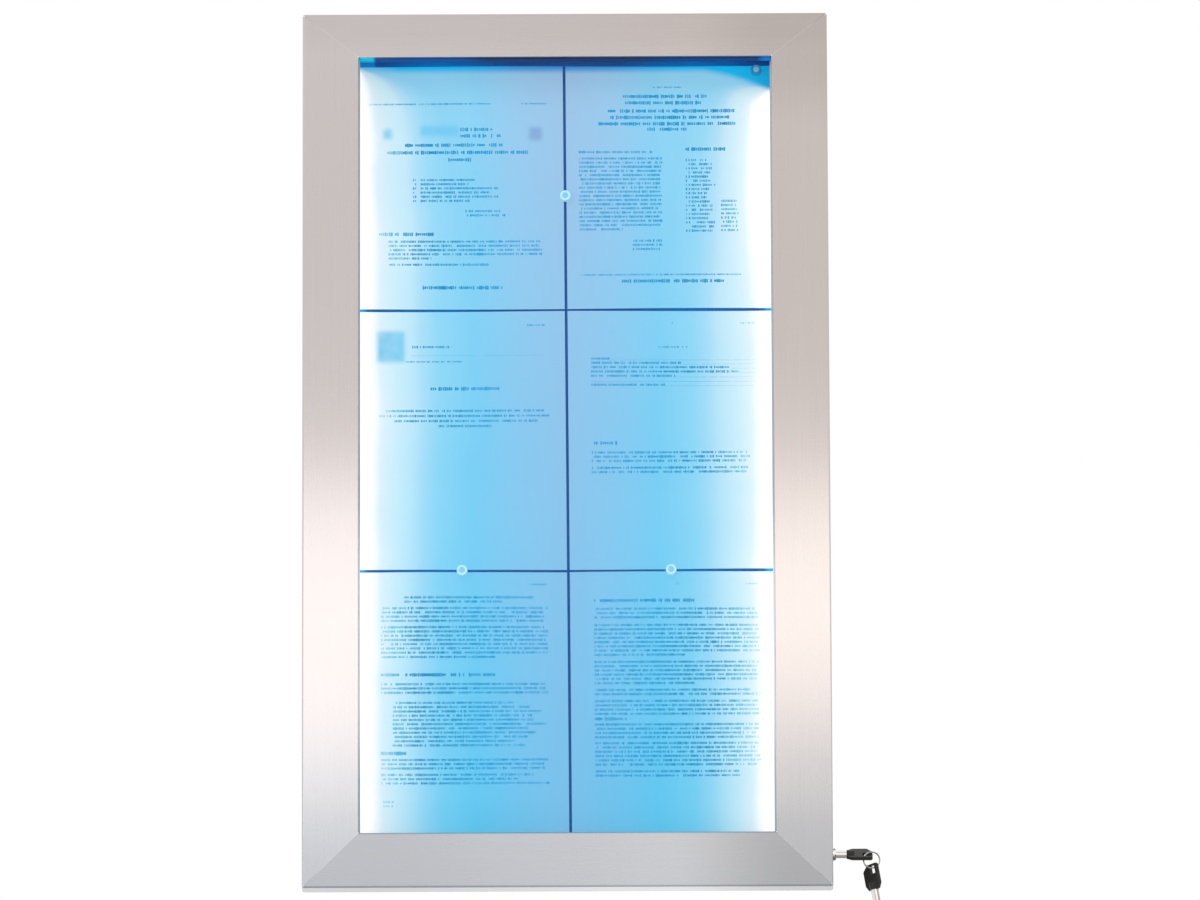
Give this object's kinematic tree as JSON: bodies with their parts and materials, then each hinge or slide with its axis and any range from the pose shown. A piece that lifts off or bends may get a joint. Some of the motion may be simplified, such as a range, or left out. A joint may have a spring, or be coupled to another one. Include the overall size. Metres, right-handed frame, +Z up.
{
  "type": "information display case",
  "caption": "Wall-hung information display case: shallow steel tray, hinged lockable door with a mitred brushed-steel frame and clear pane, side-lit magnetic board, sheets, magnets, keys.",
  "frame": {"origin": "centre of the four wall screws, on the back face of the tray that lies on the wall", "axes": "+X to the viewer's right, +Y back into the wall, +Z up; the door faces -Y"},
  "size_m": [0.6, 0.048, 0.9614],
  "materials": {
    "brushed_steel": "brushed along each member",
    "tray_steel": "mill finish",
    "zinc_steel": "bright zinc plate",
    "board_navy": "satin navy powder coat",
    "light_aluminium": "satin anodised",
    "opal_cover": "opal, lit",
    "circuit_white": "white solder mask",
    "light_chip": "lit chip",
    "grey_plastic": "moulded, satin",
    "lead_black": "soft cable jacket",
    "black_rubber": "matt rubber",
    "grey_rubber": "satin grey rubber",
    "clear_pane": "clear, polished",
    "paper": "printed office paper in cool light",
    "magnet_cap": "milky white moulding",
    "magnet_nickel": "nickel plate",
    "lock_metal": "dark nickel",
    "key_steel": "nickel-plated steel",
    "key_black": "moulded black plastic"
  },
  "bodies": {
    "case": {"back_panel": "tray_steel", "board_screws": "zinc_steel", "board_spacers": "zinc_steel", "cable_grommet": "black_rubber", "door_seal": "black_rubber", "hinge_case_leaves": "tray_steel", "hinge_case_rivets": "zinc_steel", "hinge_pins": "zinc_steel", "light_cap_screws": "zinc_steel", "light_channel_left": "light_aluminium", "light_channel_right": "light_aluminium", "light_chips_left": "light_chip", "light_chips_right": "light_chip", "light_cover_left": "opal_cover", "light_cover_right": "opal_cover", "light_end_caps": "grey_plastic", "light_lead_left": "lead_black", "light_lead_right": "lead_black", "light_strip_left": "circuit_white", "light_strip_right": "circuit_white", "magnet_board": "board_navy", "magnet_caps": "magnet_cap", "magnet_discs": "magnet_nickel", "sheet_bottom_left": "paper", "sheet_bottom_right": "paper", "sheet_middle_left": "paper", "sheet_middle_right": "paper", "sheet_top_left": "paper", "sheet_top_right": "paper", "strike_bracket": "tray_steel", "strike_screws": "zinc_steel", "terminal_block": "circuit_white", "tray_bottom": "tray_steel", "tray_left_side": "tray_steel", "tray_right_side": "tray_steel", "tray_top": "tray_steel"},
    "door": {"door_top_rail": "brushed_steel", "door_bottom_rail": "brushed_steel", "door_left_stile": "brushed_steel", "door_right_stile": "brushed_steel", "door_pane": "clear_pane", "pane_gasket": "grey_rubber", "clip_studs": "zinc_steel", "pane_clips": "tray_steel", "clip_nuts": "zinc_steel", "corner_brackets": "tray_steel", "hinge_door_leaves": "tray_steel", "hinge_door_rivets": "zinc_steel", "lock_housing": "lock_metal", "lock_nut": "lock_metal"},
    "lock_barrel": {"lock_plug": "lock_metal", "lock_cam": "lock_metal", "cam_screw": "lock_metal"},
    "key": {"key_shank": "key_steel", "key_bow": "key_black"},
    "ring": {"key_ring": "key_steel"},
    "spare_key": {"spare_key_shank": "key_steel", "spare_key_bow": "key_black"}
  },
  "joints": [
    {"name": "door_swing", "type": "hinge", "parent": "case", "child": "door", "pos_m": [-0.2686, -0.0224, 0], "axis": [0, 0, -1], "range_deg": [0, 110]},
    {"name": "lock_turn", "type": "hinge", "parent": "door", "child": "lock_barrel", "pos_m": [0.275, -0.037, -0.4345], "axis": [-1, 0, 0], "range_deg": [0, 90]},
    {"name": "key_pull", "type": "slide", "parent": "lock_barrel", "child": "key", "axis": [1, 0, 0], "range_m": [0, 0.025]},
    {"name": "ring_swing", "type": "hinge", "parent": "key", "child": "ring", "pos_m": [0.3149, -0.03968, -0.43675], "axis": [1, 0, 0], "range_deg": [0, 80]},
    {"name": "spare_key_swing", "type": "hinge", "parent": "ring", "child": "spare_key", "pos_m": [0.3149, -0.03968, -0.441], "axis": [0, 1, 0], "range_deg": [-30, 10]}
  ]
}
